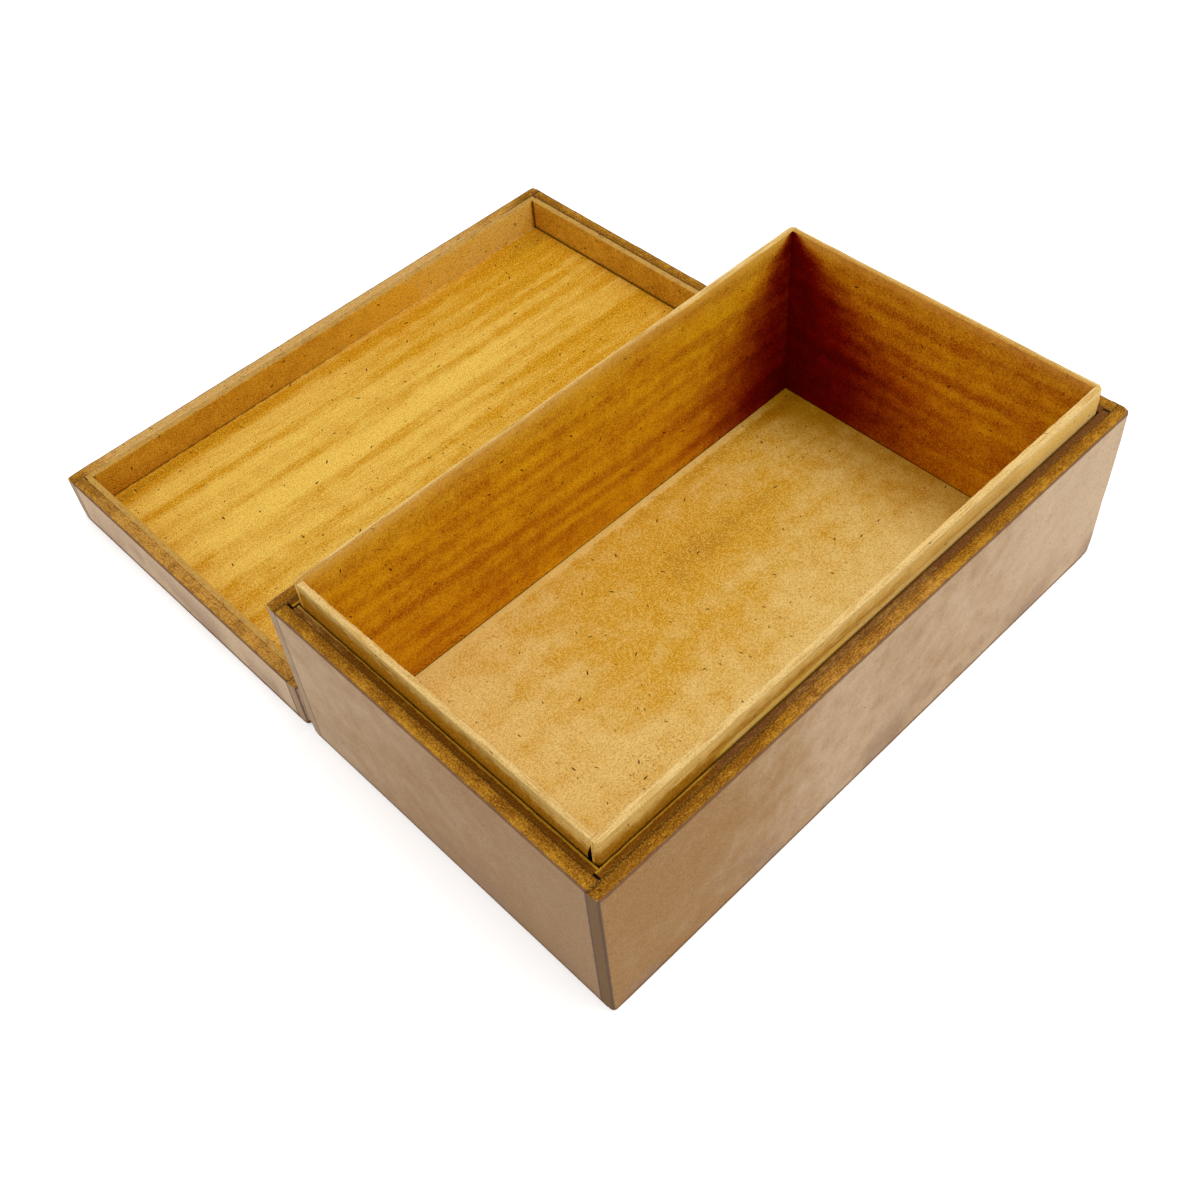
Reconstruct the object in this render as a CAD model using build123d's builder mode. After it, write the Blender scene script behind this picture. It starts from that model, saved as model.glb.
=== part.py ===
import os

from build123d import *

# A keepsake box of stained fibreboard with a loose lid, in millimetres.
# The origin is the middle of the box's underside: +X runs along its length, +Y back towards the
# lid and +Z up. The lid lies on the same table behind the box, upside down.
# Box and lid are cut from one lined shell, so they share their outline, walls and lining.

# Outside sizes
box_length = 300.0
box_width = 180.0
rim_height = 84.0
lid_height = 26.0
lid_distance = 3.0

# Boards
wall = 6.0
lining = 3.0
lip_board = 3.0
base_board = 3.0
lid_top_board = 6.0
ceiling_board = 3.0
lip_rise = 13.5

# Open gaps between boards
lip_clearance = 0.5
long_lining_gap = 0.9
end_lining_gap = 0.9
ceiling_gap = 0.8

# Sanded edges, and how much rounder the upright corners are than the edges that they meet
edge_round = 0.6
corner_added_round = 0.6
lining_round = 0.4
lip_outer_round = 1.8
lip_corner_added_round = 0.4
lip_inner_round = 0.4

# Spaces inside the walls, inside the lining and around the lip
inside_length = box_length - 2 * wall
inside_width = box_width - 2 * wall
lined_length = inside_length - 2 * lining
lined_width = inside_width - 2 * lining
lip_length = lined_length - 2 * lip_clearance
lip_width = lined_width - 2 * lip_clearance
lid_middle = box_width + lid_distance

sides = ("front", "back", "left", "right")
through_sides = ("front", "back")
# Where each side of the lid lies once the lid is turned over backwards
turned_over = {"front": "back", "back": "front", "left": "left", "right": "right"}


def side_plane(side, length, width, middle_y, height):
    """A level plane at the middle of one side of an outline, its own +Y facing out of that side."""
    middles = {
        "front": ((0, middle_y - width / 2, height), (-1, 0, 0)),
        "back": ((0, middle_y + width / 2, height), (1, 0, 0)),
        "left": ((-length / 2, middle_y, height), (0, 1, 0)),
        "right": ((length / 2, middle_y, height), (0, -1, 0)),
    }
    origin, along = middles[side]
    return Plane(origin=origin, x_dir=along, z_dir=(0, 0, 1))


def outer_edges(rims, outward, runs_through):
    """The edges of a board's ends that show outside: all round a through board, else the outer one."""
    by_depth = rims.group_by(outward)
    return rims - by_depth[0] if runs_through else by_depth[-1]


def save(name, piece):
    piece.label = name
    export_step(piece, f"parts/{name}.step")


def make_wall(side, middle_y, height):
    """An outer wall: long walls run through to rounded corners, end walls butt between them."""
    plane = side_plane(side, box_length, box_width, middle_y, 0)
    outward = Axis(plane.origin, plane.y_dir)
    runs_through = side in through_sides
    length = box_length if runs_through else inside_width
    with BuildPart() as board:
        with BuildSketch(plane):
            Rectangle(length, wall, align=(Align.CENTER, Align.MAX))
            if runs_through:
                fillet(vertices().group_by(Axis.Y)[-1], edge_round + corner_added_round)
        extrude(amount=height)
        fillet(outer_edges(faces().filter_by(Axis.Z).edges(), outward, runs_through), edge_round)
    return board.part


def make_lining(side, middle_y, bottom, height, gap_towards):
    """A thin board against a wall: long ones stop short of both end walls, end ones of one long one.

    gap_towards is 1 where the end boards' gap is on the +Y side, and -1 where it is on the other.
    """
    plane = side_plane(side, inside_length, inside_width, middle_y, bottom)
    outward = Axis(plane.origin, plane.y_dir)
    with BuildPart() as board:
        with BuildSketch(plane):
            if side in through_sides:
                Rectangle(inside_length - 2 * long_lining_gap, lining, align=(Align.CENTER, Align.MAX))
            else:
                gap_along = gap_towards * plane.x_dir.Y
                with Locations((-gap_along * end_lining_gap / 2, 0)):
                    Rectangle(lined_width - end_lining_gap, lining, align=(Align.CENTER, Align.MAX))
        extrude(amount=height)
        fillet(faces().sort_by(Axis.Z)[-1].edges().sort_by(outward)[0], lining_round)
    return board.part


def make_lip(side):
    """A board standing on the base inside the lining and past the rim, rounded along its top."""
    plane = side_plane(side, lip_length, lip_width, 0, base_board)
    outward = Axis(plane.origin, plane.y_dir)
    runs_through = side in through_sides
    length = lip_length if runs_through else lip_width - 2 * lip_board
    with BuildPart() as board:
        with BuildSketch(plane):
            Rectangle(length, lip_board, align=(Align.CENTER, Align.MAX))
            if runs_through:
                fillet(vertices().group_by(Axis.Y)[-1], lip_outer_round + lip_corner_added_round)
        extrude(amount=rim_height + lip_rise - base_board)
        fillet(outer_edges(faces().sort_by(Axis.Z)[-1].edges(), outward, runs_through), lip_outer_round)
        fillet(faces().sort_by(Axis.Z)[-1].edges().sort_by(outward)[0], lip_inner_round)
    return board.part


os.makedirs("parts", exist_ok=True)

# Box: the base lies between the walls, flush underneath
with BuildPart() as base_panel:
    with BuildSketch(Plane.XY):
        Rectangle(inside_length, inside_width)
    extrude(amount=base_board)
save("base_panel", base_panel.part)

# Box: outer walls, then the lining and the lip standing on the base
lining_height = rim_height - base_board
for side in sides:
    save(f"{side}_wall", make_wall(side, 0, rim_height))
    save(f"{side}_lining", make_lining(side, 0, base_board, lining_height, 1))
    save(f"{side}_lip", make_lip(side))

# Lid: the top lies between the walls, flush outside, and so on the table
with BuildPart() as lid_top_panel:
    with BuildSketch(Plane(origin=(0, lid_middle, 0))):
        Rectangle(inside_length, inside_width)
    extrude(amount=lid_top_board)
save("lid_top_panel", lid_top_panel.part)

# Lid: the ceiling lies on the top between the linings, and stops short at its right end
with BuildPart() as lid_ceiling_panel:
    with BuildSketch(Plane(origin=(-ceiling_gap / 2, lid_middle, lid_top_board))):
        Rectangle(lined_length - ceiling_gap, lined_width)
    extrude(amount=ceiling_board)
save("lid_ceiling_panel", lid_ceiling_panel.part)

# Lid: walls and lining, named as they sit over the box's own when the lid is on
lid_lining_height = lid_height - lid_top_board
for side in sides:
    lies_at = turned_over[side]
    save(f"lid_{side}_wall", make_wall(lies_at, lid_middle, lid_height))
    save(f"lid_{side}_lining", make_lining(lies_at, lid_middle, lid_top_board, lid_lining_height, -1))
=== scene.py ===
from collections import namedtuple

import bpy
import numpy as np
from mathutils import Matrix, Vector


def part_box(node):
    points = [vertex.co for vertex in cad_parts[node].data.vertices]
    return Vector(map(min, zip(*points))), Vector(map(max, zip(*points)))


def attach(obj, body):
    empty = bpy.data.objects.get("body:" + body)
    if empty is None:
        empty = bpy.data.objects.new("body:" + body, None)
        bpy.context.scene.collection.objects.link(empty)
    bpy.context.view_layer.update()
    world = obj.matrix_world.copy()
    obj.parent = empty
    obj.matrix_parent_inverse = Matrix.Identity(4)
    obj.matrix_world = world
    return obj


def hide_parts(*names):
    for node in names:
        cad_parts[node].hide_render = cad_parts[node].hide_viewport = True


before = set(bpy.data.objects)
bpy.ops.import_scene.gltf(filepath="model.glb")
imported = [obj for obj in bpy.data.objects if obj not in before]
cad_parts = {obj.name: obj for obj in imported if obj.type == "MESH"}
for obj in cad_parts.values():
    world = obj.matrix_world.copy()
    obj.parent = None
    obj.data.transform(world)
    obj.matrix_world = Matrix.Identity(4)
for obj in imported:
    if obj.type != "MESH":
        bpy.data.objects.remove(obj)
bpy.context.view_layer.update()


# Base of the box
# A thin fibreboard panel lying between the outer walls, stained honey brown and browner in its middle.
# The other boards of the box stand on it or round it.

def wander(places, step, seed):
    """A smooth random line from -1 to 1: a random height every step mm, eased by a half cosine."""
    heights = np.random.default_rng(seed).uniform(-1, 1, 2048)
    middle = 1000
    at = np.asarray(places, float) / step + middle
    before = np.floor(at).astype(int)
    ease = 0.5 - 0.5 * np.cos(np.pi * (at - before))
    return heights[before] * (1 - ease) + heights[before + 1] * ease


def step_up(value, start, end):
    """0 before start and 1 after end, with the cubic 3x^2 - 2x^3 between them."""
    x = np.clip((value - start) / (end - start), 0, 1)
    return x * x * (3 - 2 * x)


def spaced(size, fine, coarse, zone):
    """Places from -size/2 to size/2: every fine mm within zone of both edges, every coarse mm between."""
    rim = np.linspace(0, zone, round(zone / fine) + 1)
    field = np.linspace(zone, size - zone, max(2, round((size - 2 * zone) / coarse) + 1))
    return np.unique(np.round(np.concatenate([rim, field, size - rim]), 4)) - size / 2


def box_net(places):
    """The six faces of a box as one closed net of four-sided cells, with shared edge points counted once."""
    points, cells, count = [], [], 0
    for axis in range(3):
        first, second = (axis + 1) % 3, (axis + 2) % 3
        for end in (0, -1):
            net = np.zeros((len(places[first]), len(places[second]), 3))
            net[..., first] = places[first][:, None]
            net[..., second] = places[second][None, :]
            net[..., axis] = places[axis][end]
            number = np.arange(net.size // 3).reshape(net.shape[:2]) + count
            cell = np.stack([number[:-1, :-1], number[1:, :-1], number[1:, 1:], number[:-1, 1:]], -1)
            cell = cell.reshape(-1, 4)
            points.append(net.reshape(-1, 3))
            cells.append(cell if end else cell[:, ::-1])
            count += net.size // 3
    points, cells = np.concatenate(points), np.concatenate(cells)
    once, number = np.unique(np.round(points, 4), axis=0, return_inverse=True)
    return once, number.ravel()[cells]


def ease_edges(points, half, low, high):
    """Rounds a box's edges: a point past the inner box goes onto an ellipsoid that touches the faces there.

    low and high are the rounds, in mm, at the lower and upper end of each of the three directions.
    """
    inner_low, inner_high = low - half, half - high
    core = np.clip(points, inner_low, inner_high)
    rounds = np.where(points > (inner_low + inner_high) / 2, high, low)
    facing = (points - core) / rounds
    facing /= np.linalg.norm(facing, axis=1, keepdims=True)
    return core + rounds * facing, facing


Shape = namedtuple("Shape", "points cells place reach facing")


def board(node, outward, edges, seed, steps=(0.9, 4.0), worn=(0, 0), rounder=(1, 1), dip=0, recede=None,
          upright=True):
    """A board in the place of a CAD node, with uneven, eased edges. Its three directions are its run, its
    rise and its thickness, outer face last.

    edges gives (round, unevenness, step) in mm for the long edges top_out, top_in, foot_out and foot_in and
    for the ends end_out and end_in. steps is how far apart its points lie along its run and its rise. worn is
    how many mm rounder the outer lower corner is at each end, rounder how many times the whole outer corner
    is, dip lowers the top unevenly, and recede(run, drop, depth) draws the ends in.

    The Shape has its points in metres, its cells, and for each point its place (run, drop below the top,
    depth below the outer face) and reach (distance from the nearer end, height above the foot, 0), in mm, and
    its facing along, up and out.
    """
    low, high = (np.array(corner) * 1000 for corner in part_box(node))
    out = np.array(outward, float)
    rise = np.array((0.0, 0.0, 1.0) if upright else (0.0, 1.0, 0.0))
    turn = np.stack([np.cross(rise, out), rise, out])
    half = np.abs(turn) @ (high - low) / 2
    size = 2 * half
    edge_step, edge_zone = 0.2, 2.4
    thin_step, thin_coarse, thin_zone = 0.15, 0.4, min(1.2, size[2] * 0.4)
    points, cells = box_net([
        spaced(size[0], edge_step, steps[0], edge_zone),
        spaced(size[1], edge_step, steps[1], edge_zone),
        spaced(size[2], thin_step, thin_coarse, thin_zone),
    ])
    run, height, depth = points.T

    def round_of(name, number, along):
        radius, uneven, step = edges[name]
        return radius * (1 + uneven * wander(along, step, seed + number))

    top_out, top_in = round_of("top_out", 1, run), round_of("top_in", 2, run)
    foot_out, foot_in = round_of("foot_out", 3, run), round_of("foot_in", 4, run)
    end_out, end_in = round_of("end_out", 5, height), round_of("end_in", 6, height)
    end_out = end_out * np.where(run < 0, *rounder)
    wear_zone, wear_full = 9, 2
    by_end = step_up(np.abs(run), half[0] - wear_zone, half[0] - wear_full)
    by_foot = step_up(-height, half[1] - wear_zone, half[1] - wear_full)
    knocked = by_end * by_foot * np.where(run < 0, *worn)
    foot_out, end_out = foot_out + knocked, end_out + knocked

    # The outer rounds hold to the middle of what is left flat, and near an end its own rounds take over
    outer = depth > (edges["top_in"][0] - edges["top_out"][0]) / 2
    near_end = step_up(np.abs(run), half[0] - 4, half[0] - 1.5)
    ends = np.where(outer, end_out, end_in)
    front = np.where(height > 0, top_out, foot_out)
    rear = np.where(height > 0, top_in, foot_in)
    front, rear = front + (end_out - front) * near_end, rear + (end_in - rear) * near_end
    lower = np.stack([ends, np.where(outer, foot_out, foot_in), rear], 1)
    upper = np.stack([ends, np.where(outer, top_out, top_in), front], 1)
    eased, facing = ease_edges(points, half, lower, upper)
    if dip:
        dip_step, dip_zone = 37, 12
        lowered = dip * (0.5 + 0.5 * wander(run, dip_step, seed + 7))
        eased[:, 1] -= lowered * step_up(height, half[1] - dip_zone, half[1])
    if recede:
        eased[:, 0] -= np.sign(run) * recede(run, half[1] - height, half[2] - depth)
    place = np.stack([run, half[1] - height, half[2] - depth], 1)
    reach = np.stack([half[0] - np.abs(run), height + half[1], np.zeros(len(run))], 1)
    facing[:, 0] = np.abs(facing[:, 0])
    return Shape((eased @ turn + (low + high) / 2) / 1000, cells, place, reach, facing)


def in_mm(shape):
    """The x, y and z of a shape's points, in mm."""
    return (shape.points * 1000).T


def put(node, body, finish, shape, stain):
    """Makes the piece that stands for a CAD node. Its mesh carries place, reach and facing, with the third
    number of reach being stain: how dark the stain lies at each point, from 0 to 1 or a little over. In some
    places this number carries painted shade as well."""
    points, cells, place, reach, facing = shape
    reach[:, 2] = stain
    mesh = bpy.data.meshes.new(node + "_board")
    mesh.vertices.add(len(points))
    mesh.vertices.foreach_set("co", points.astype(np.float32).ravel())
    mesh.loops.add(cells.size)
    mesh.loops.foreach_set("vertex_index", cells.astype(np.int32).ravel())
    mesh.polygons.add(len(cells))
    mesh.polygons.foreach_set("loop_start", np.arange(0, cells.size, 4, dtype=np.int32))
    mesh.polygons.foreach_set("use_smooth", np.ones(len(cells), bool))
    for name, values in (("place", place), ("reach", reach), ("facing", facing)):
        kept = mesh.attributes.new(name, "FLOAT_VECTOR", "POINT")
        kept.data.foreach_set("vector", values.astype(np.float32).ravel())
    mesh.update(calc_edges=True)
    mesh.materials.append(finish)
    piece = bpy.data.objects.new(node + "_board", mesh)
    bpy.context.scene.collection.objects.link(piece)
    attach(piece, body)
    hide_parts(node)


class Recipe:
    """Writes a finish node by node: each method adds nodes and returns the socket that they put out."""

    def __init__(self, tree):
        self.tree = tree

    def fill(self, made, inputs):
        for key, value in inputs.items():
            if isinstance(value, bpy.types.NodeSocket):
                self.tree.links.new(value, made.inputs[key])
            else:
                made.inputs[key].default_value = value
        return made

    def node(self, kind, inputs, **settings):
        made = self.tree.nodes.new("ShaderNode" + kind)
        for name, value in settings.items():
            setattr(made, name, value)
        return self.fill(made, inputs)

    def group(self, tree, inputs):
        return self.node("Group", inputs, node_tree=tree).outputs

    def math(self, operation, first, second=0.0):
        return self.node("Math", {0: first, 1: second}, operation=operation).outputs[0]

    def plus(self, first, second):
        return self.math("ADD", first, second)

    def minus(self, first, second):
        return self.math("SUBTRACT", first, second)

    def both(self, first, second):
        return self.math("MULTIPLY", first, second)

    def larger(self, first, second):
        return self.math("MAXIMUM", first, second)

    def around(self, level, *noises):
        """A level, with each noise's distance from one half, times its share, added to it."""
        for noise, share in noises:
            level = self.plus(level, self.both(self.minus(noise, 0.5), share))
        return level

    def ease(self, value, start, end, most=1.0):
        """0 before start and most after end, smoothly, also where end is the smaller one."""
        inputs = {"Value": value, "From Min": start, "From Max": end, "To Max": most}
        return self.node("MapRange", inputs, interpolation_type="SMOOTHSTEP").outputs[0]

    def vector(self, operation, first, second):
        return self.node("VectorMath", {0: first, 1: second}, operation=operation).outputs[0]

    def stretch(self, vector, by):
        return self.vector("MULTIPLY", vector, by)

    def distance(self, first, second):
        return self.node("VectorMath", {0: first, 1: second}, operation="DISTANCE").outputs["Value"]

    def join(self, x, y, z=0.0):
        return self.node("CombineXYZ", {0: x, 1: y, 2: z}).outputs[0]

    def parts(self, vector):
        return self.node("SeparateXYZ", {0: vector}).outputs

    def blend(self, share, first, second):
        """From the first colour to the second: inputs 6 and 7 of a Mix node, and its output 2."""
        colours = {6: first, 7: second}
        colours = {key: (*c, 1) if isinstance(c, tuple) else c for key, c in colours.items()}
        return self.node("Mix", {0: share, **colours}, data_type="RGBA").outputs[2]

    def wash(self, colour, wet, shares):
        """A colour under more stain: its red, green and blue each fall by a share of wet."""
        return self.stretch(colour, self.join(*(self.minus(1.0, self.both(wet, share)) for share in shares)))

    def noise(self, where, size, detail=2.0, rough=0.5):
        """Cloudy noise from 0 to 1 with lumps of about size mm."""
        inputs = {"Vector": where, "Scale": 1 / size, "Detail": detail, "Roughness": rough}
        return self.node("TexNoise", inputs).outputs[0]

    def kept(self, name):
        """A vector that the mesh carries."""
        return self.node("Attribute", {}, attribute_name=name).outputs["Vector"]

    def where(self):
        """The point on the piece, in mm."""
        return self.stretch(self.node("TexCoord", {}).outputs["Object"], (1000, 1000, 1000))

    def coat(self, colour, fine, roughness):
        """The shader itself: a dull board with a fibrous relief."""
        relief = self.node("Bump", {"Height": fine, "Strength": 0.5, "Distance": 0.00008}).outputs[0]
        uneven = self.around(roughness, (fine, 0.12))
        shader = self.node("BsdfPrincipled", {"Base Color": colour, "Roughness": uneven, "Normal": relief})
        shader.inputs["Specular IOR Level"].default_value = 0.05
        self.node("OutputMaterial", {"Surface": shader.outputs[0]})


def new_effect(name, inputs, outputs):
    """An empty node group with vector or number inputs and number outputs, ready to be written."""
    tree = bpy.data.node_groups.new(name, "ShaderNodeTree")
    for socket, kind in inputs:
        tree.interface.new_socket(socket, in_out="INPUT", socket_type="NodeSocket" + kind)
    for socket in outputs:
        tree.interface.new_socket(socket, in_out="OUTPUT", socket_type="NodeSocketFloat")
    given = tree.nodes.new("NodeGroupInput").outputs
    result = tree.nodes.new("NodeGroupOutput").inputs
    return tree, Recipe(tree), given, result


def new_finish(name):
    """An empty material, and the recipe that writes it."""
    finish = bpy.data.materials.new(name)
    finish.use_nodes = True
    finish.node_tree.nodes.clear()
    return finish, Recipe(finish.node_tree)


# The cloudiness of stained fibreboard at three sizes: fibres, patches and clouds
mottle, recipe, given, result = new_effect("board_mottle", [("Where", "Vector")], ["Fine", "Patch", "Cloud"])
for socket, size, detail, rough in (
    ("Fine", 0.7, 3.0, 0.7),
    ("Patch", 9.0, 3.0, 0.55),
    ("Cloud", 42.0, 2.0, 0.5),
):
    mottle.links.new(recipe.noise(given["Where"], size, detail, rough), result[socket])

# Fibre bundles pressed into a board's face: slim ovals that lie every way, one or none to a cell. The top is
# unrolled with the outer face.
flecks, recipe, given, result = new_effect(
    "fibre_flecks",
    [("Place", "Vector"), ("Cell", "Float"), ("Length", "Float"), ("Width", "Float"), ("Share", "Float")],
    ["Mask"],
)
along, drop, depth = recipe.parts(given["Place"])
in_cells = recipe.vector("DIVIDE", recipe.join(along, recipe.minus(drop, depth)), given["Cell"])
cell = recipe.node("TexVoronoi", {"Vector": in_cells, "Scale": 1.0}, voronoi_dimensions="2D").outputs
apart = recipe.stretch(recipe.vector("SUBTRACT", in_cells, cell["Position"]), given["Cell"])
chance, way, bulk = recipe.parts(cell["Color"])
turned = {"Vector": apart, "Angle": recipe.both(way, 2 * np.pi)}
turned = recipe.node("VectorRotate", turned, rotation_type="Z_AXIS").outputs[0]
oval = recipe.vector("DIVIDE", turned, recipe.join(given["Length"], given["Width"], 1.0))
away = recipe.distance(oval, (0, 0, 0))
away = recipe.math("DIVIDE", away, recipe.plus(recipe.both(bulk, 0.8), 0.55))
chosen = recipe.math("LESS_THAN", chance, given["Share"])
flecks.links.new(recipe.both(recipe.ease(away, 1.0, 0.4), chosen), result["Mask"])


def fibrous(recipe, colour, fine, place, dark, pale, fleck, strength=1.0, threads=0.65):
    """Fibres over a colour: fine noise to dark and to pale, pale threads, and three sizes of dark fleck."""
    colour = recipe.blend(recipe.ease(fine, 0.46, 0.68, 0.44 * strength), colour, dark)
    colour = recipe.blend(recipe.ease(fine, 0.54, 0.34, 0.36 * strength), colour, pale)
    for shade, cell, length, width, share, most in (
        (dark, 2.0, 0.8, 0.24, 0.6, 0.6),
        (pale, 2.0, 1.4, 0.13, 0.7, threads),
        (fleck, 8.5, 0.8, 0.30, 0.30, 0.65),
        (fleck, 19.0, 1.2, 0.38, 0.65, 0.9),
    ):
        size = {"Place": place, "Cell": cell, "Length": length, "Width": width, "Share": share}
        mask = recipe.group(flecks, size)["Mask"]
        colour = recipe.blend(recipe.both(mask, most * strength), colour, shade)
    return colour


# What a brush leaves along a board: soft streaks that bend a little, a given number of mm apart, and darker
# lines where its strokes overlap, one every period, with fainter ones half way between them
streaks, recipe, given, result = new_effect(
    "brush_streaks",
    [("Place", "Vector"), ("Spacing", "Float"), ("Period", "Float"), ("First", "Float")],
    ["Streak", "Line", "Between"],
)
streak_length, patch_length, patch_width = 190.0, 75.0, 10.0
along, over = recipe.parts(given["Place"])[:2]
bend = recipe.noise(recipe.stretch(given["Place"], (1, 1.5, 0)), 150.0, 1.0)
lane = recipe.math("DIVIDE", recipe.around(over, (bend, 26.0)), given["Spacing"])
brushed = recipe.join(recipe.math("DIVIDE", along, streak_length), lane)
streaks.links.new(recipe.noise(brushed, 1.0, 1.2, 0.4), result["Streak"])
frayed = recipe.noise(recipe.stretch(given["Place"], (0.12, 1, 0)), 2.2, 3.0, 0.6)
sloping = recipe.minus(over, recipe.both(along, 0.02))
sloping = recipe.minus(recipe.around(sloping, (bend, 5.0), (frayed, 4.5)), given["First"])
half_period = recipe.both(given["Period"], 0.5)
from_line = recipe.math("DIVIDE", recipe.math("PINGPONG", sloping, half_period), half_period)
in_patches = recipe.join(
    recipe.math("DIVIDE", along, patch_length),
    recipe.math("DIVIDE", over, patch_width),
)
strength = recipe.ease(recipe.noise(in_patches, 1.0, 1.0), 0.22, 0.62)
streaks.links.new(recipe.both(recipe.ease(from_line, 0.52, 0.06), strength), result["Line"])
streaks.links.new(recipe.both(recipe.ease(from_line, 0.55, 0.96), strength), result["Between"])

honey_floor, recipe = new_finish("honey_floor")
thin_honey, honey_brown, blotch_brown = (0.83, 0.605, 0.202), (0.65, 0.345, 0.014), (0.44, 0.195, 0.004)
bare_strip, scuff_brown = (0.85, 0.61, 0.190), (0.27, 0.12, 0.015)
place = recipe.kept("place")
run, drop = recipe.parts(place)[:2]
stain = recipe.parts(recipe.kept("reach"))[2]
spots = recipe.group(mottle, {"Where": recipe.where()})
streak = recipe.group(streaks, {"Place": place, "Spacing": 17.0})["Streak"]
shade = recipe.around(stain, (streak, 1.0), (spots["Patch"], 1.3), (spots["Cloud"], 0.5))
# A tide of stain a few mm off the back lip, stronger towards the right
from_back = recipe.around(drop, (spots["Patch"], 3.0))
tide = recipe.both(recipe.ease(from_back, 9.8, 11.5, 0.55), recipe.ease(from_back, 19.0, 13.0))
shade = recipe.plus(shade, recipe.both(tide, recipe.ease(run, -90.0, 80.0)))
colour = recipe.blend(recipe.ease(shade, 0.0, 1.0), thin_honey, honey_brown)
colour = recipe.blend(recipe.ease(shade, 0.9, 1.8, 0.9), colour, blotch_brown)
colour = fibrous(recipe, colour, spots["Fine"], place, strength=1.5,
                 dark=(0.46, 0.22, 0.016), pale=(0.93, 0.73, 0.25), fleck=(0.12, 0.045, 0.006))
colour = recipe.wash(colour, recipe.ease(shade, 0.55, 1.25), (0.0, 0.03, 0.25))
# Painted shade along the right lip and in the back right corner, with some stain there too
back_right_corner, most_darkening = (137.5, 6.5, 0), 1.19
to_corner = recipe.distance(place, back_right_corner)
darkening = recipe.plus(recipe.ease(run, 87.0, 146.0, 1.05), recipe.ease(to_corner, 45.0, 5.0, 0.55))
darkening = recipe.plus(darkening, recipe.both(tide, recipe.ease(run, 85.0, 115.0, 0.55)))
darkening = recipe.both(darkening, recipe.around(1.0, (spots["Patch"], 0.5)))
darkening = recipe.math("MINIMUM", darkening, most_darkening)
colour = recipe.wash(colour, darkening, (0.33, 0.47, 0.80))
# A paler strip close to the back lip
bare = recipe.both(recipe.ease(from_back, 10.6, 9.4, 0.5), recipe.ease(run, 115.0, 70.0))
colour = recipe.blend(bare, colour, bare_strip)
# A scuffed oval at the front, left of the middle
squash, scuff_middle = (1, 1.7, 0), (-63, 187, 0)
scuffed = recipe.ease(recipe.distance(recipe.stretch(place, squash), scuff_middle), 18.0, 9.0)
scuffs = {"Place": place, "Cell": 2.7, "Length": 1.1, "Width": 0.24, "Share": 0.75}
scuffs = recipe.both(recipe.group(flecks, scuffs)["Mask"], scuffed)
colour = recipe.blend(recipe.both(scuffs, 0.7), colour, scuff_brown)
recipe.coat(colour, spots["Fine"], roughness=0.70)

crisp = {"top_out": (0.3, 0.2, 9.0), "top_in": (0.3, 0.2, 9.0), "foot_out": (0.3, 0.2, 9.0),
         "foot_in": (0.3, 0.2, 9.0), "end_out": (0.3, 0.2, 9.0), "end_in": (0.3, 0.0, 9.0)}
shape = board("base_panel", (0, 0, 1), crisp, seed=11, steps=(2.5, 2.5), upright=False)
x, y = in_mm(shape)[:2]
floor_stain = 0.08 + 0.48 * step_up(x, -105, -30) * step_up(y, -35, 5) + 0.1 * step_up(y, 5, 40)
for share, middle_x, length, middle_y, width in (
    (0.35, 30, 55, 35, 26),
    (0.38, 42, 46, 37, 11),
    (0.32, -18, 40, -8, 17),
    (0.16, -40, 26, -26, 12),
):
    floor_stain += share * np.exp(-((x - middle_x) / length) ** 2 - ((y - middle_y) / width) ** 2)
for line, share, start in ((58, 0.12, 0), (34, 0.32, 35), (11, 0.26, 15), (-10, 0.24, 15), (-32, 0.16, 40)):
    floor_stain += share * np.exp(-((y - line + 0.03 * x) / 5) ** 2) * step_up(-x, start, start + 35)
put("base_panel", "box", honey_floor, shape, floor_stain)


# Outer walls of the box
# Four 6 mm fibreboards, sanded pale outside. The long ones run through to eased corners and the end ones
# butt between them. The sawn rims are stained orange brown, the outer edges are rubbed dark, and a painted
# shadow runs along the foot.

tan_wall, recipe = new_finish("tan_wall")
pale_tan, brown_tan = (0.75, 0.55, 0.365), (0.41, 0.215, 0.076)
smudge_brown, scratch_brown, grime = (0.35, 0.215, 0.145), (0.30, 0.17, 0.09), (0.42, 0.275, 0.175)
sawn_brown, gap_shade_brown = (0.185, 0.105, 0.050), (0.09, 0.034, 0.007)
rim_orange, rim_brown, rim_seam = (0.56, 0.275, 0.042), (0.19, 0.064, 0.003), (0.045, 0.016, 0.003)
chip_pale, rim_pale = (0.68, 0.46, 0.20), (0.70, 0.45, 0.165)
edge_brown, corner_brown, foot_shadow_brown = (0.170, 0.088, 0.050), (0.12, 0.080, 0.066), (0.17, 0.064, 0.008)
where, place = recipe.where(), recipe.kept("place")
spots = recipe.group(mottle, {"Where": where})
drop, depth = recipe.parts(place)[1:]
from_end, above_foot, stain = recipe.parts(recipe.kept("reach"))
end_facing, up_facing, out_facing = recipe.parts(recipe.kept("facing"))
shade = recipe.around(stain, (spots["Patch"], 0.65), (spots["Cloud"], 0.65))
colour = recipe.blend(recipe.ease(shade, 0.0, 1.0), pale_tan, brown_tan)
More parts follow.
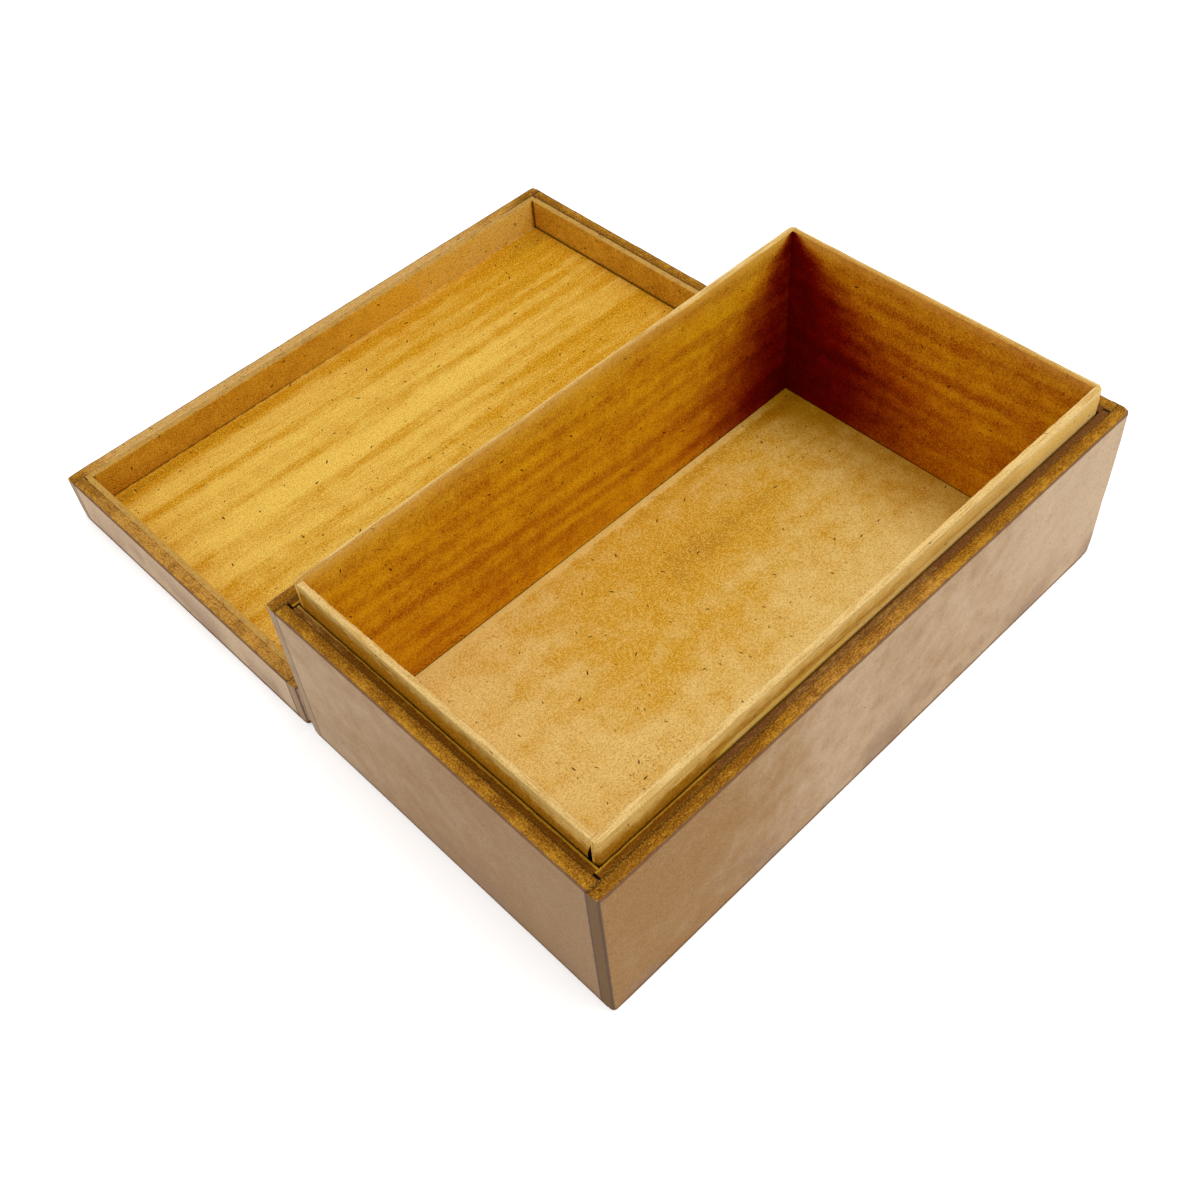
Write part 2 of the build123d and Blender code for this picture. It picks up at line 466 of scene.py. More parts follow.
# Smudges low down, slanting sanding scratches, and grime on the left end
smudge = recipe.ease(recipe.noise(where, 26.0, 3.0), 0.42, 0.68, 0.6)
colour = recipe.blend(recipe.both(smudge, recipe.ease(above_foot, 34.0, 4.0)), colour, smudge_brown)
slant = {"Vector": where, "Rotation": (0.6, 0.55, 0.9)}
slant = recipe.node("VectorRotate", slant, rotation_type="EULER_XYZ").outputs[0]
scratch = recipe.noise(recipe.stretch(slant, (0.05, 1, 1)), 0.9, 2.0)
colour = recipe.blend(recipe.ease(scratch, 0.56, 0.75, 0.35), colour, scratch_brown)
grubby = recipe.both(recipe.ease(recipe.parts(where)[0], -149.0, -149.8, 0.6), stain)
colour = recipe.blend(grubby, colour, grime)
colour = fibrous(recipe, colour, spots["Fine"], place, strength=0.5,
                 dark=(0.32, 0.18, 0.085), pale=(0.72, 0.53, 0.345), fleck=(0.16, 0.09, 0.05))
sawn_end = recipe.both(recipe.ease(end_facing, 0.6, 0.9), stain)
colour = recipe.blend(sawn_end, colour, sawn_brown)
# The rim, stained in strokes along it and darker inwards, or chipped and pale where there is little stain
strokes = recipe.noise(recipe.stretch(place, (0.3, 0, 1)), 1.0, 3.0, 0.6)
rim_stain = recipe.around(stain, (strokes, 1.6), (spots["Patch"], 1.3), (spots["Fine"], 0.7))
inner_dark = recipe.both(recipe.ease(depth, 0.8, 5.5, 0.4), recipe.ease(stain, 0.3, 0.45))
rim_stain = recipe.plus(rim_stain, inner_dark)
rim = recipe.blend(recipe.ease(rim_stain, 0.0, 1.0), rim_orange, rim_brown)
chips = recipe.ease(recipe.noise(where, 1.6, 2.0), 0.5, 0.62)
chips = recipe.both(recipe.ease(stain, 0.4, 0.16, 0.75), chips)
rim = recipe.blend(recipe.both(chips, recipe.ease(depth, 3.6, 5.4)), rim, chip_pale)
little_stain = recipe.ease(recipe.around(stain, (strokes, 0.3)), 0.3, 0.05, 0.7)
rim = recipe.blend(little_stain, rim, rim_pale)
# The dark seam against the lining, broken where there is little stain
seam = recipe.around(depth, (recipe.noise(where, 4.0, 2.0), 0.8))
seam = recipe.plus(seam, recipe.ease(stain, 0.42, 0.6, 0.8))
broken = recipe.both(recipe.ease(recipe.noise(where, 9.0, 2.0), 0.45, 0.6), recipe.ease(stain, 0.14, 0.3))
broken = recipe.larger(recipe.ease(stain, 0.34, 0.44), broken)
rim = recipe.blend(recipe.both(recipe.ease(seam, 5.55, 5.85, 0.8), broken), rim, rim_seam)
rim = fibrous(recipe, rim, spots["Fine"], place, strength=1.1, threads=0.15,
              dark=(0.16, 0.055, 0.004), pale=(0.68, 0.39, 0.10), fleck=(0.09, 0.030, 0.004))
rim = recipe.wash(rim, recipe.ease(stain, 0.36, 0.5), (0.0, 0.03, 0.55))
colour = recipe.blend(recipe.ease(up_facing, 0.45, 0.8), colour, rim)
# Outer edges rubbed dark at the rim and the corners, a painted contact shadow along the foot, and painted
# shade in the gaps beside the linings' ends
wobble = recipe.around(0.0, (recipe.noise(where, 3.0, 2.0), 0.7))
edge = recipe.plus(recipe.larger(drop, depth), wobble)
colour = recipe.blend(recipe.ease(edge, 1.1, 0.45, 0.8), colour, edge_brown)
corner = recipe.plus(recipe.larger(from_end, depth), wobble)
colour = recipe.blend(recipe.ease(corner, 1.1, 0.45, 0.8), colour, corner_brown)
# Painted contact shadow along the foot
foot = recipe.plus(recipe.larger(above_foot, depth), wobble)
foot = recipe.minus(foot, recipe.ease(stain, 0.1, 0.02, 0.8))
colour = recipe.blend(recipe.ease(foot, 2.6, 1.0, 0.85), colour, foot_shadow_brown)
# Painted shade on the walls' inner faces near the top, where they show in the gaps beside the linings' ends
wall_gap_shade = recipe.both(recipe.ease(out_facing, -0.6, -0.9), recipe.ease(drop, 8.0, 6.0))
colour = recipe.blend(wall_gap_shade, colour, gap_shade_brown)
recipe.coat(colour, spots["Fine"], roughness=0.72)

sides = {"front": (0, -1, 0), "back": (0, 1, 0), "left": (-1, 0, 0), "right": (1, 0, 0)}
long_sides = ("front", "back")
through_edges = {"top_out": (0.6, 0.35, 6.0), "top_in": (0.25, 0.4, 5.0), "foot_out": (0.5, 0.3, 8.0),
                 "foot_in": (0.3, 0.0, 8.0), "end_out": (1.7, 0.2, 9.0), "end_in": (0.2, 0.0, 9.0)}
between_edges = dict(through_edges, end_out=(0.12, 0.0, 9.0), end_in=(0.12, 0.0, 9.0))


def by_facing(shape, face, top, ends):
    """One number a point: ends where a board faces along itself, top where it faces up, and face
    elsewhere."""
    end, up = shape.facing.T[:2]
    return np.where(end > 0.7, ends, np.where(up > 0.5, top, face))


def put_walls(prefix, body, lies_at, seed, face_stain_and_shade, rim_stain, end_stain):
    """The four outer walls of the box or the lid. The face and rim stains are functions of x and y in mm, the
    face one partly painted shade on the box, and end_stain is a number for each side."""
    for number, side in enumerate(sides):
        at = lies_at[side]
        edges, worn = (through_edges, (0.4, 1.0)) if at in long_sides else (between_edges, (0, 0))
        rounder = (1.0, 1.7) if at == "front" else (1.2, 1.0)
        shape = board(f"{prefix}{side}_wall", sides[at], edges, seed + 20 * number, worn=worn,
                      rounder=rounder)
        x, y = in_mm(shape)[:2]
        stain = by_facing(shape, face_stain_and_shade(x, y), rim_stain(x, y), end_stain[at])
        put(f"{prefix}{side}_wall", body, tan_wall, shape, stain)


def box_face_stain_and_shade(x, y):
    """Deeper stain towards the left of the long walls and the front of the left wall, paler at the far right;
    the fall from right to left along the long walls is partly painted shade.
    """
    along = 0.40 + 0.54 * step_up(-x, 10, 130) - 0.26 * step_up(x, 30, 140)
    return np.where(x < -149.5, 0.68 - 0.0042 * y, along)


def box_rim_stain(x, y):
    """Darkest at the left of the long rims and palest in their middle, and even on the left rim."""
    along = 0.40 + 0.28 * step_up(-x, 40, 85) + 0.11 * step_up(x, 24, 40)
    return np.where((x < -144) & (np.abs(y) < 84), 0.50, along)


put_walls("", "box", lies_at={side: side for side in sides}, seed=100,
          face_stain_and_shade=box_face_stain_and_shade, rim_stain=box_rim_stain,
          end_stain={"front": 0.85, "back": 0.3, "left": 0.5, "right": 0.5})


# Lining of the box
# Four 3 mm boards against the walls, level with the rim, with small gaps at their ends. Only their top
# edges show, as a dark brown ledge round the lip, rubbed to a pale line along the inside at the left.

amber_lining, recipe = new_finish("amber_lining")
lining_gold, lining_brown, lining_pale = (0.85, 0.475, 0.035), (0.50, 0.195, 0.002), (0.85, 0.560, 0.120)
ledge_pale, ledge_brown, ledge_dull = (0.58, 0.33, 0.075), (0.150, 0.046, 0.003), (0.125, 0.044, 0.011)
ledge_worn, ledge_shadow = (0.54, 0.30, 0.055), (0.12, 0.042, 0.006)
lining_corner_shade, lining_foot_shade, lining_end_shade = (0.09, 0.028, 0.002), (0.13, 0.042, 0.003), (0.09, 0.034, 0.007)
where, place = recipe.where(), recipe.kept("place")
spots = recipe.group(mottle, {"Where": where})
x, y = recipe.parts(where)[:2]
depth = recipe.parts(place)[2]
above_foot, stain = recipe.parts(recipe.kept("reach"))[1:]
end_facing, up_facing = recipe.parts(recipe.kept("facing"))[:2]
shade = recipe.around(stain, (spots["Patch"], 0.9), (spots["Cloud"], 0.9))
colour = recipe.blend(recipe.ease(shade, 0.0, 1.0), lining_gold, lining_brown)
colour = recipe.blend(recipe.ease(shade, 0.05, -0.3), colour, lining_pale)
colour = fibrous(recipe, colour, spots["Fine"], place, strength=1.6, threads=0.4,
                 dark=(0.27, 0.09, 0.003), pale=(0.90, 0.57, 0.060), fleck=(0.09, 0.025, 0.002))
# The ledge: its inner edge is worn pale at the left of the box, and dark along the rest of the front
strokes = recipe.noise(recipe.stretch(place, (0.3, 0, 1)), 1.0, 3.0, 0.6)
ledge_stain = recipe.around(stain, (strokes, 1.1), (spots["Patch"], 0.6), (spots["Fine"], 0.5))
at_left = recipe.ease(x, -82.0, -94.0)
past_left = recipe.ease(x, -94.0, -82.0)
darkest = recipe.blend(past_left, ledge_brown, ledge_dull)
ledge = recipe.blend(recipe.ease(ledge_stain, 0.0, 1.0), ledge_pale, darkest)
ragged, swaying = recipe.noise(where, 2.5, 2.0), recipe.noise(where, 30.0, 1.0)
inner_edge = recipe.around(depth, (ragged, 0.9), (swaying, 1.0))
worn_edge = recipe.both(recipe.ease(inner_edge, 1.9, 2.4, 0.9), at_left)
ledge = recipe.blend(worn_edge, ledge, ledge_worn)
shadowed = recipe.both(recipe.ease(inner_edge, 1.9, 2.5, 0.75), past_left)
ledge = recipe.blend(recipe.both(shadowed, recipe.ease(y, -76.0, -78.0)), ledge, ledge_shadow)
ledge = fibrous(recipe, ledge, spots["Fine"], place, strength=0.65, threads=0.15,
                dark=(0.13, 0.042, 0.002), pale=(0.52, 0.28, 0.06), fleck=(0.06, 0.020, 0.003))
wet = recipe.both(recipe.ease(stain, 0.7, 0.95), at_left)
ledge = recipe.wash(ledge, wet, (0.06, 0.10, 0.7))
# Painted shade in the corners inside the lid, and along the foot, fading along the far side
half_length, half_width, lid_middle = 141.0, 81.0, 183.0
wobble = recipe.around(0.0, (recipe.noise(where, 4.0, 2.0), 1.6))
from_x = recipe.minus(half_length, recipe.math("ABSOLUTE", x))
from_y = recipe.minus(half_width, recipe.math("ABSOLUTE", recipe.minus(y, lid_middle)))
corner = recipe.plus(recipe.larger(from_x, from_y), wobble)
colour = recipe.blend(recipe.ease(corner, 1.6, 0.2, 0.85), colour, lining_corner_shade)
far_right = recipe.both(recipe.ease(y, 262.0, 263.5), recipe.ease(x, -70.0, 0.0, 0.85))
foot = recipe.ease(recipe.plus(above_foot, wobble), 4.1, 3.2, 0.55)
colour = recipe.blend(recipe.both(foot, recipe.minus(1.0, far_right)), colour, lining_foot_shade)
colour = recipe.blend(recipe.ease(up_facing, 0.35, 0.7), colour, ledge)
# Painted shade on the linings' ends, which face into the gaps at the corners
colour = recipe.blend(recipe.ease(end_facing, 0.6, 0.9), colour, lining_end_shade)
recipe.coat(colour, spots["Fine"], roughness=0.72)

lining_edges = {"top_out": (0.15, 0.3, 5.0), "top_in": (0.4, 0.5, 4.0), "foot_out": (0.15, 0.0, 8.0),
                "foot_in": (0.15, 0.0, 8.0), "end_out": (0.15, 0.0, 9.0), "end_in": (0.15, 0.0, 9.0)}
for number, side in enumerate(sides):
    shape = board(f"{side}_lining", sides[side], lining_edges, 200 + 20 * number)
    x, y = in_mm(shape)[:2]
    top = 0.95 - 0.22 * step_up(x, -58, -44) * step_up(-x, -36, -26) + 0.13 * step_up(x, 26, 36)
    top = 1.0 - 0.25 * step_up(y, 20, 70) if side == "left" else top
    stain = by_facing(shape, face=0.5, top=top, ends=1.0)
    put(f"{side}_lining", "box", amber_lining, shape, stain)


# Lip of the box
# Four 3 mm boards inside the lining, standing past the rim so that the lid slides over them. Brushed with
# amber stain inside, rubbed cream along the top, and golden to brown outside.

amber_lip, recipe = new_finish("amber_lip")
amber, amber_brown = (0.88, 0.505, 0.005), (0.54, 0.200, 0.001)
amber_rubbed, amber_top, amber_foot_shade = (0.78, 0.49, 0.045), (0.90, 0.62, 0.120), (0.06, 0.016, 0.001)
lip_gold, lip_brown, lip_thin = (0.84, 0.510, 0.125), (0.36, 0.128, 0.001), (0.97, 0.62, 0.165)
lip_foot, lip_groove_shade, lip_gap_shade = (0.92, 0.60, 0.180), (0.08, 0.026, 0.003), (0.012, 0.005, 0.002)
cream_pale, cream_thread = (0.77, 0.54, 0.215), (0.54, 0.31, 0.070)
cream_brown, cream_bare = (0.46, 0.22, 0.028), (0.99, 0.72, 0.340)
where, place = recipe.where(), recipe.kept("place")
spots = recipe.group(mottle, {"Where": where})
run, drop, depth = recipe.parts(place)
above_foot, stain = recipe.parts(recipe.kept("reach"))[1:]
up_facing, out_facing = recipe.parts(recipe.kept("facing"))[1:]
# Amber inside, with brush lines that run level on the right lip and slope on the others
on_right = recipe.ease(recipe.parts(where)[0], 137.2, 137.4)
slope = recipe.both(recipe.both(run, -0.09), recipe.minus(1.0, on_right))
first = recipe.plus(slope, recipe.both(on_right, 15.0))
period = recipe.plus(recipe.both(on_right, 0.7), 19.9)
brush = recipe.group(streaks, {"Place": place, "Spacing": 9.0, "Period": period, "First": first})
shade = recipe.around(0.35, (brush["Streak"], 0.8), (spots["Patch"], 0.8), (spots["Cloud"], 0.6))
shade = recipe.plus(shade, recipe.both(brush["Line"], 0.52))
shade = recipe.plus(shade, recipe.both(brush["Between"], 0.30))
colour = recipe.blend(recipe.ease(shade, 0.0, 1.0), amber, amber_brown)
deep = recipe.around(stain, (spots["Patch"], 0.30), (brush["Streak"], 0.15), (spots["Fine"], 0.5))
deep = recipe.plus(deep, recipe.both(brush["Line"], recipe.ease(stain, 0.05, 0.3, 0.03)))
rubbed = recipe.ease(recipe.around(drop, (spots["Patch"], 14.0)), 19.0, 2.0, 0.5)
colour = recipe.blend(recipe.both(rubbed, recipe.ease(deep, 0.45, 0.1)), colour, amber_rubbed)
colour = fibrous(recipe, colour, spots["Fine"], place, strength=1.35,
                 dark=(0.30, 0.092, 0.001), pale=(0.95, 0.62, 0.03), fleck=(0.07, 0.012, 0.001))
top_rub = recipe.both(recipe.ease(drop, 6.0, 1.0, 0.5), recipe.ease(deep, 0.8, 0.5))
colour = recipe.blend(top_rub, colour, amber_top)
# Where the stain and the painted corner shade are deep, green and blue fall as the square of red, which
# turns amber to a dark red brown
thin = recipe.minus(1.0, recipe.ease(deep, -0.12, 1.12, 0.86))
green = recipe.larger(recipe.minus(recipe.both(thin, thin), 0.052), 0.002)
colour = recipe.stretch(colour, recipe.join(thin, green, green))
# Painted shade along the inside foot, where the lip meets the floor
colour = recipe.blend(recipe.ease(above_foot, 1.1, 0.3, 0.8), colour, amber_foot_shade)
# Golden outside and browner lower down, with a pale foot on the front and painted shadow in the groove
# against the lining
threads = recipe.noise(recipe.stretch(place, (0.07, 1, 1)), 1.1, 3.0, 0.6)
lumps = recipe.noise(where, 5.0, 2.0)
lower = recipe.plus(drop, recipe.ease(stain, 0.97, 1.02, 2.6))
middling = recipe.both(recipe.ease(stain, 0.3, 0.45), recipe.ease(stain, 0.9, 0.75, 2.5))
lower = recipe.plus(lower, middling)
low_dark = recipe.ease(recipe.around(lower, (lumps, 7.0)), 2.5, 11.5)
low_dark = recipe.around(recipe.both(low_dark, stain), (threads, 1.7))
golden = recipe.blend(recipe.ease(low_dark, -0.1, 1.0), lip_gold, lip_brown)
golden = recipe.blend(recipe.ease(stain, 0.35, 0.12, 0.8), golden, lip_thin)
pale_foot = recipe.ease(recipe.around(drop, (lumps, 2.0)), 8.8, 11.2, 0.95)
pale_foot = recipe.both(pale_foot, recipe.ease(stain, 0.88, 0.72))
golden = recipe.blend(pale_foot, golden, lip_foot)
# Painted shadow in the groove between the lip and the ledge
groove = recipe.ease(recipe.around(drop, (recipe.noise(where, 3.0, 2.0), 0.6)), 12.9, 13.5, 0.7)
golden = recipe.blend(recipe.both(groove, recipe.ease(stain, 1.0, 0.94)), golden, lip_groove_shade)
# Cream on top, browner inwards, which runs down the outside a little way
cream = recipe.blend(recipe.ease(threads, 0.4, 0.7, 0.75), cream_pale, cream_thread)
inward = recipe.both(stain, recipe.ease(depth, 0.0, 2.2))
cream = recipe.blend(recipe.around(inward, (threads, 1.4)), cream, cream_brown)
down = recipe.ease(recipe.around(drop, (lumps, 5.0)), 4.5, 0.5, 0.85)
down = recipe.both(down, recipe.ease(stain, 1.04, 0.88))
cream_down = recipe.blend(recipe.ease(stain, 0.35, 0.12), cream, cream_bare)
outer = recipe.blend(down, golden, cream_down)
outer = recipe.blend(recipe.ease(up_facing, 0.35, 0.75), outer, cream)
outer = fibrous(recipe, outer, spots["Fine"], place, strength=0.85, threads=0.4,
                dark=(0.34, 0.14, 0.008), pale=(0.88, 0.60, 0.20), fleck=(0.15, 0.06, 0.010))
darkening = recipe.both(recipe.ease(low_dark, 0.4, 1.0), recipe.ease(up_facing, 0.6, 0.2))
outer = recipe.wash(outer, darkening, (0.0, 0.03, 0.7))
# Darker low down on the outside of the left lip
low_outside_darker = recipe.both(recipe.ease(drop, 7.0, 3.5), recipe.ease(up_facing, 0.5, 0.2))
low_outside_darker = recipe.both(recipe.ease(stain, 0.94, 1.0), low_outside_darker)
outer = recipe.wash(outer, low_outside_darker, (0.24, 0.22, 0.15))
outward = recipe.larger(recipe.ease(up_facing, 0.35, 0.75), recipe.ease(out_facing, -0.2, 0.3))
colour = recipe.blend(outward, colour, outer)
# Painted shade on the board ends inside the open joint
colour = recipe.blend(recipe.ease(stain, 1.2, 1.8), colour, lip_gap_shade)
recipe.coat(colour, spots["Fine"], roughness=0.66)

through_lip = {"top_out": (1.0, 0.3, 7.0), "top_in": (0.45, 0.6, 2.6), "foot_out": (0.2, 0.0, 8.0),
               "foot_in": (0.2, 0.0, 8.0), "end_out": (2.1, 0.1, 9.0), "end_in": (0.2, 0.0, 9.0)}
between_lip = dict(through_lip, top_in=(0.7, 0.85, 1.8), end_out=(0.12, 0.0, 9.0), end_in=(0.12, 0.0, 9.0))
lip_edges = {
    "front": through_lip,
    "back": dict(through_lip, top_out=(0.5, 0.3, 9.0), top_in=(0.3, 0.5, 4.0)),
    "left": between_lip,
    "right": dict(between_lip, top_out=(0.6, 0.3, 9.0), top_in=(0.3, 0.5, 4.0)),
}


def open_joint(run, drop, depth):
    """How far the left lip's front end stands off: a wedge that opens from 3 mm below its top to 2 mm wide at
    the rim, and closes again below it, cut through most of the board."""
    wedge = step_up(drop, 2.5, 13) * step_up(-drop, -28, -20)
    return 2.0 * wedge * step_up(run, 62, 77) * step_up(-depth, -2.9, -2.3)


def corner_shadow(x, y, z):
    """Painted shade in the back right corner, with stain that ran together there: a wedge that widens
    downwards, half as dark, low down, about 50 mm along the back lip and 60 mm along the right one. The right
    lip is darker than the others all along, also painted shade, and the back one a little darker in two
    places."""
    inside_x, inside_y = 137.5, 77.5
    back_half = 2 + 46 * (1 - np.clip((z - 20) / 77, 0, 1) ** 1.8)
    right_half = 2 + 60 * (1 - np.clip(z / 97, 0, 1) ** 2.2) - 5 * step_up(-z, -34, -12)
    right_half = right_half + 8 * np.exp(-((z - 44) / 11) ** 2)
    back = (1 - step_up(inside_x - x, 0.1 * back_half, 2 * back_half)) * step_up(y, -40, 60)
    right = 1 - step_up(inside_y - y, 0.1 * right_half, 2 * right_half)
    back += 0.12 * np.exp(-((x + 60) / 36) ** 2) + 0.12 * np.exp(-((x - 50) / 28) ** 2)
    back *= 0.85 + 0.15 * step_up(-z, -36, -14)
    return np.where(x > 137, 0.25 + 0.73 * right, back)


def lip_outside(side, x, y):
    """How brown a lip is outside: the front one in three steps towards the left, the left one evenly but for
    a little more at the back, and the two hidden ones evenly."""
    if side == "front":
        return 0.1 + 0.28 * step_up(-x, -95, -75) + 0.3 * step_up(-x, -35, 45) + 0.28 * step_up(-x, 75, 95)
    if side == "left":
        return 1.06 + 0.0014 * y
    return 0.5 if side == "back" else 0.6


lip_top = {"front": 0.0, "back": 1.0, "left": 0.3, "right": 1.0}
# Marks the end faces inside the left lip's open joint for painted shade
open_joint_shade = 2.0
for number, side in enumerate(sides):
    shape = board(f"{side}_lip", sides[side], lip_edges[side], 300 + 20 * number, steps=(0.9, 3.0), dip=0.25,
                  recede=open_joint if side == "left" else None)
    x, y, z = in_mm(shape)
    end, up, out = shape.facing.T
    stain = np.where(out > 0.1, lip_outside(side, x, y), corner_shadow(x, y, z))
    rubbed_end = 0.75 * step_up(x, 30, 80) if side == "back" else 0.0
    stain = np.where(up > 0.5, lip_top[side] - rubbed_end, stain)
    if side == "left":
        stain = np.where((end > 0.7) & (open_joint(*shape.place.T) > 0.2), open_joint_shade, stain)
    put(f"{side}_lip", "box", amber_lip, shape, stain)


# Top and ceiling of the lid
# A 6 mm top board lies between the lid's walls, outside down as the lid lies here. The 3 mm ceiling board
# glued to it is brushed lengthwise with a honey stain, and leaves a crack at its right end.

top_stain = 0.28
shape = board("lid_top_panel", (0, 0, -1), crisp, seed=401, steps=(2.5, 2.5), upright=False)
put("lid_top_panel", "lid", tan_wall, shape, top_stain)

honey_ceiling, recipe = new_finish("honey_ceiling")
ceiling_honey, ceiling_amber, ceiling_brown = (0.84, 0.520, 0.090), (0.56, 0.225, 0.002), (0.38, 0.15, 0.005)
line_dark, line_pale = (0.14, 0.05, 0.004), (0.80, 0.56, 0.24)
place = recipe.kept("place")
spots = recipe.group(mottle, {"Where": recipe.where()})
run, drop = recipe.parts(place)[:2]
stain = recipe.parts(recipe.kept("reach"))[2]
brush = recipe.group(streaks, {"Place": place, "Spacing": 11.0, "Period": 22.0, "First": 6.5})
grain = recipe.noise(recipe.stretch(place, (0.1, 1, 1)), 1.5, 3.0, 0.6)
shade = recipe.around(stain, (brush["Streak"], 1.1), (spots["Patch"], 0.55), (spots["Cloud"], 0.4),
                      (grain, 0.9))
shade = recipe.plus(shade, recipe.both(brush["Line"], 0.45))
shade = recipe.plus(shade, recipe.both(brush["Between"], recipe.ease(run, 0.0, 90.0, 0.44)))
colour = recipe.blend(recipe.ease(shade, 0.0, 1.0), ceiling_honey, ceiling_amber)
colour = recipe.blend(recipe.ease(shade, 0.9, 1.7, 0.9), colour, ceiling_brown)
colour = fibrous(recipe, colour, spots["Fine"], place, strength=1.55, threads=0.5,
                 dark=(0.38, 0.155, 0.004), pale=(0.95, 0.69, 0.135), fleck=(0.10, 0.03, 0.003))
colour = recipe.wash(colour, recipe.ease(shade, 0.45, 1.1), (0.0, 0.03, 0.6))
# A broken line along the far edge, dark at the left and pale at the right
broken = recipe.noise(recipe.stretch(place, (0.25, 0, 0)), 1.0, 2.0)
far_line = recipe.both(recipe.ease(drop, 0.9, 0.35), recipe.ease(broken, 0.4, 0.55, 0.8))
line = recipe.blend(recipe.ease(run, -10.0, 30.0), line_dark, line_pale)
colour = recipe.blend(far_line, colour, line)
recipe.coat(colour, spots["Fine"], roughness=0.68)

shape = board("lid_ceiling_panel", (0, 0, 1), crisp, seed=421, steps=(2.0, 2.0), upright=False)
x, y = in_mm(shape)[:2]
stain = 0.34 + 0.27 * step_up(x, 20, 130) + 0.2 * step_up(y, 218, 240) * step_up(x, -40, 40)
stain += 0.1 * step_up(-x, 105, 138) + 0.12 * step_up(-y, -186, -165) - 0.2 * np.exp(-((y - 199) / 11) ** 2)
# Painted shade in a band along the far lining, darker at the left, and in the far right corner
far_shade_band = np.exp(-((y - 259) / 4.5) ** 2) * (0.22 + 0.34 * step_up(-x, -40, 90))
far_shade_band += 0.4 * step_up(y, 234, 258) * step_up(x, 92, 125)
put("lid_ceiling_panel", "lid", honey_ceiling, shape, stain + far_shade_band)


# Walls and lining of the lid
# The same boards as the box's, sawn off with it: 6 mm walls, and 3 mm lining against them, both standing
# up from the lid's top as it lies here. Their sawn edges are paler and chipped.

def lid_face_stain(x, y):
    """None on the left end, and even on the other sides."""
    return 0.32 * step_up(x, -149.8, -140)


def lid_rim_stain(x, y):
    """Palest along the far rim, darker towards the right and at the two far corners."""
    along = 0.34 - 0.22 * step_up(y, 255, 266) + 0.2 * step_up(x, 60, 144)
    return along + 0.4 * np.exp(-((np.abs(x) - 150) / 16) ** 2 - ((y - 273) / 16) ** 2)


turned_over = {"front": "back", "back": "front", "left": "left", "right": "right"}
put_walls("lid_", "lid", lies_at=turned_over, seed=500,
          face_stain_and_shade=lid_face_stain, rim_stain=lid_rim_stain,
          end_stain={"front": 0.35, "back": 0.3, "left": 0.3, "right": 0.3})


def tighter(run, drop, depth):
    """The lid's long linings reach 0.6 mm further at both ends, which nearly closes their gaps."""
    return -0.6 * step_up(np.abs(run), 60, 140)


for number, side in enumerate(sides):
    shape = board(f"lid_{side}_lining", sides[turned_over[side]], lining_edges, 600 + 20 * number,
                  recede=tighter if side in long_sides else None)
    x = in_mm(shape)[0]
    # Browner at the left of the far lining and paler at the right; the right lining is dark all along,
    # painted shade
    face = 0.15 + 0.5 * step_up(-x, -90, 110) - 0.45 * step_up(x, 30, 110) + 0.9 * step_up(x, 138, 140)
    stain = by_facing(shape, face=face, top=0.22, ends=0.8)
    put(f"lid_{side}_lining", "lid", amber_lining, shape, stain)


# Table, light and camera
# A pale seamless table under soft daylight, a broad lamp high on the right, and the camera where the
# photograph was taken from, a little over half a metre away at the front left.

table_reach, table_level, table_grey, table_glow = 6.0, -0.0003, 0.82, 0.5
table_mesh = bpy.data.meshes.new("table")
table_corners = [(-1, -1), (1, -1), (1, 1), (-1, 1)]
table_corners = [(table_reach * x, table_reach * y, table_level) for x, y in table_corners]
table_mesh.from_pydata(table_corners, [], [(0, 1, 2, 3)])
table = bpy.data.objects.new("table", table_mesh)
bpy.context.scene.collection.objects.link(table)


def seen_white(recipe):
    """1 for what the camera sees itself, in a mirror or through glass, and 0 for light on its way round."""
    path = recipe.node("LightPath", {}).outputs
    mirrored = recipe.larger(path["Is Glossy Ray"], path["Is Transmission Ray"])
    return recipe.larger(path["Is Camera Ray"], mirrored)


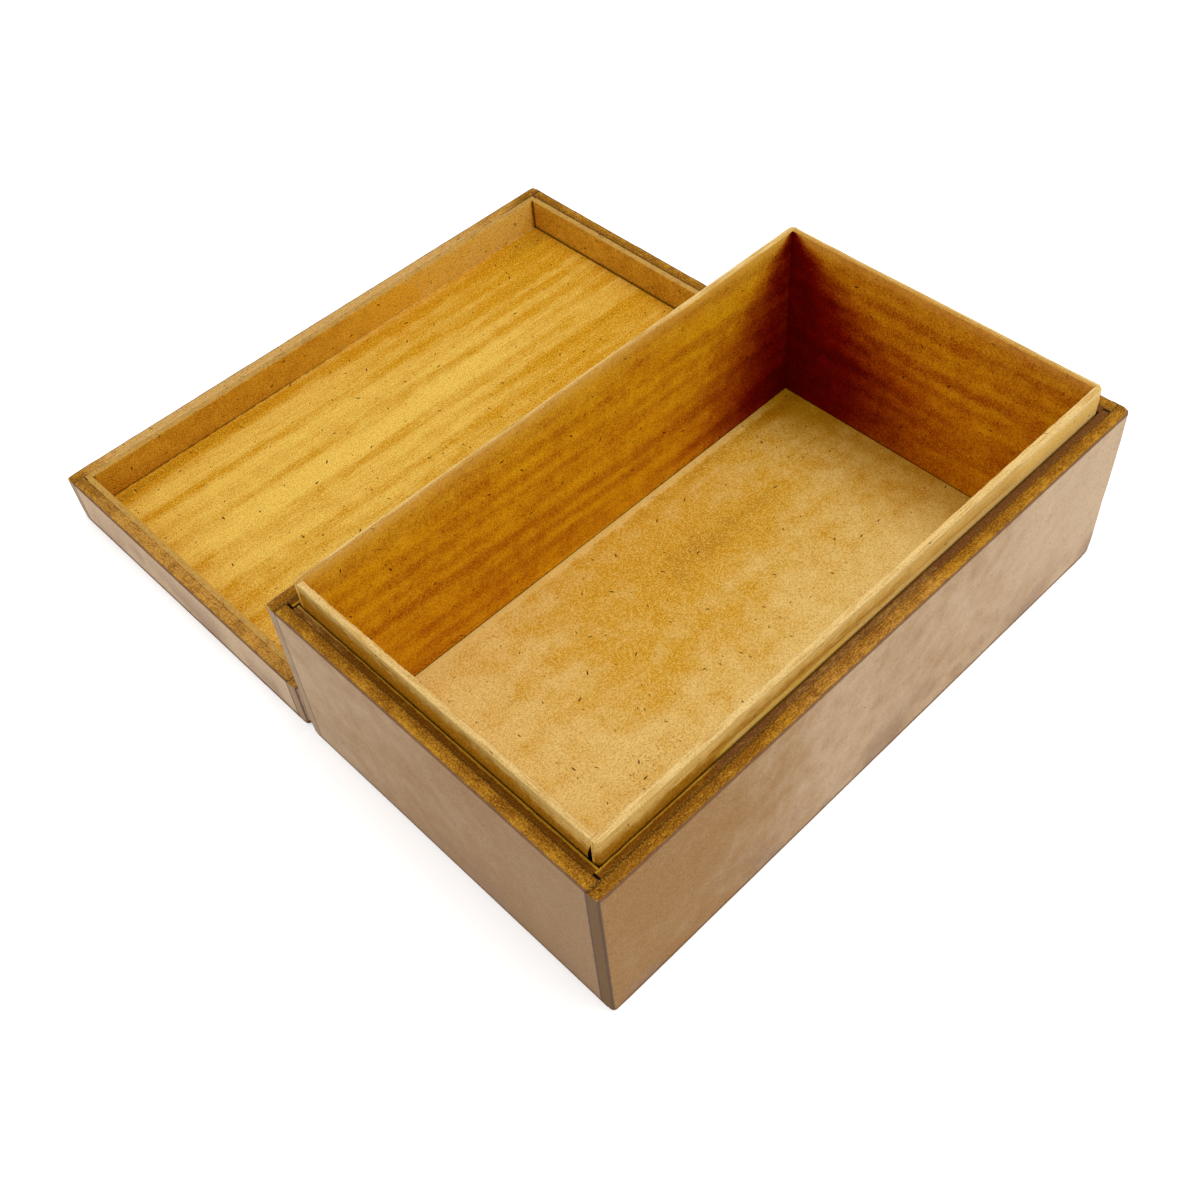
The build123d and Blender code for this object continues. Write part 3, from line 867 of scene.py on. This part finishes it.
white_table, recipe = new_finish("white_table")
matt = recipe.node("BsdfDiffuse", {"Color": (table_grey, table_grey, table_grey, 1)}).outputs[0]
glow = {"Color": (1, 1, 1, 1), "Strength": recipe.both(seen_white(recipe), table_glow)}
glow = recipe.node("Emission", glow).outputs[0]
recipe.node("OutputMaterial", {"Surface": recipe.node("AddShader", {0: matt, 1: glow}).outputs[0]})
table_mesh.materials.append(white_table)

sky_strength = 0.72
daylight = bpy.data.worlds.new("daylight")
bpy.context.scene.world = daylight
daylight.use_nodes = True
daylight.node_tree.nodes.clear()
recipe = Recipe(daylight.node_tree)
soft = recipe.node("Background", {"Color": (1, 1, 1, 1), "Strength": sky_strength}).outputs[0]
white = recipe.node("Background", {"Color": (1, 1, 1, 1), "Strength": 1.0}).outputs[0]
shown = recipe.node("MixShader", {0: seen_white(recipe), 1: soft, 2: white}).outputs[0]
recipe.node("OutputWorld", {"Surface": shown})

lamp_place, lamp_aim = Vector((0.2, -0.2, 1.3)), Vector((0.0, 0.08, 0.03))
lamp_width, lamp_power = 0.8, 7.5
lamp_light = bpy.data.lights.new("lamp_right", "AREA")
lamp_light.size, lamp_light.energy = lamp_width, lamp_power
lamp = bpy.data.objects.new("lamp_right", lamp_light)
lamp.location = lamp_place
lamp.rotation_euler = (lamp_aim - lamp_place).to_track_quat("-Z", "Y").to_euler()
bpy.context.scene.collection.objects.link(lamp)

camera_place = (-0.27885, -0.26019, 0.49438)
lens_mm, sensor_mm = 43.05, 36.0
right = Vector((0.71147, -0.69964, -0.06566)).normalized()
ahead = Vector((0.40699, 0.48643, -0.77314)).normalized()
up = right.cross(ahead).normalized()
view = bpy.data.cameras.new("camera")
view.lens, view.sensor_width, view.sensor_fit = lens_mm, sensor_mm, "HORIZONTAL"
camera = bpy.data.objects.new("camera", view)
turn = Matrix((right, up, -ahead)).transposed().to_4x4()
camera.matrix_world = Matrix.Translation(camera_place) @ turn
bpy.context.scene.collection.objects.link(camera)
bpy.context.scene.camera = camera
bpy.context.scene.view_settings.view_transform = "Standard"
